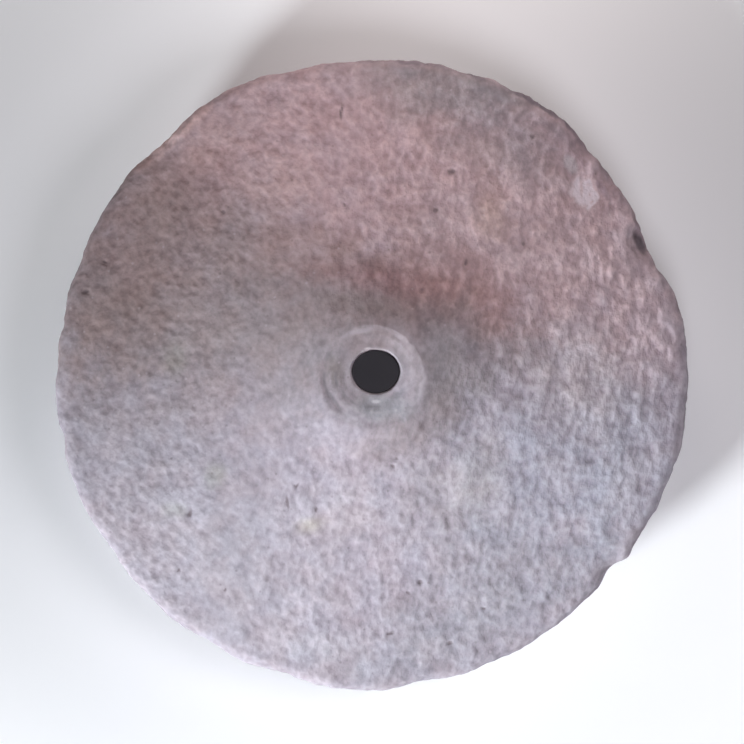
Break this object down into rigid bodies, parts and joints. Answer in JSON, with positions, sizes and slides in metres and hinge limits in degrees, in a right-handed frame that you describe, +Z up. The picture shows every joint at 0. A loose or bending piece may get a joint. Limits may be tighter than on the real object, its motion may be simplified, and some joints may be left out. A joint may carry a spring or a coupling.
{
  "type": "rotary quern lower stone",
  "caption": "Round pecked-stone bedstone of a hand rotary quern: conical grinding face, raised collar with worn stepped dish, through spindle hole, broken rim, flat underside.",
  "frame": {"origin": "on the ground under the middle of the stone's outline, at the centre of the underside", "axes": "+Z up along the spindle hole; +X is the picture's right and +Y its top, as seen from straight above"},
  "size_m": [0.4231, 0.4218, 0.1045],
  "materials": {
    "stone": "dry pecked stone, matt, lilac-grey with a pinkish upper half and faint cream and brown stains, smoother and paler in the worn dish round the hole"
  },
  "bodies": {
    "root": {"lower_stone": "stone"}
  },
  "joints": []
}
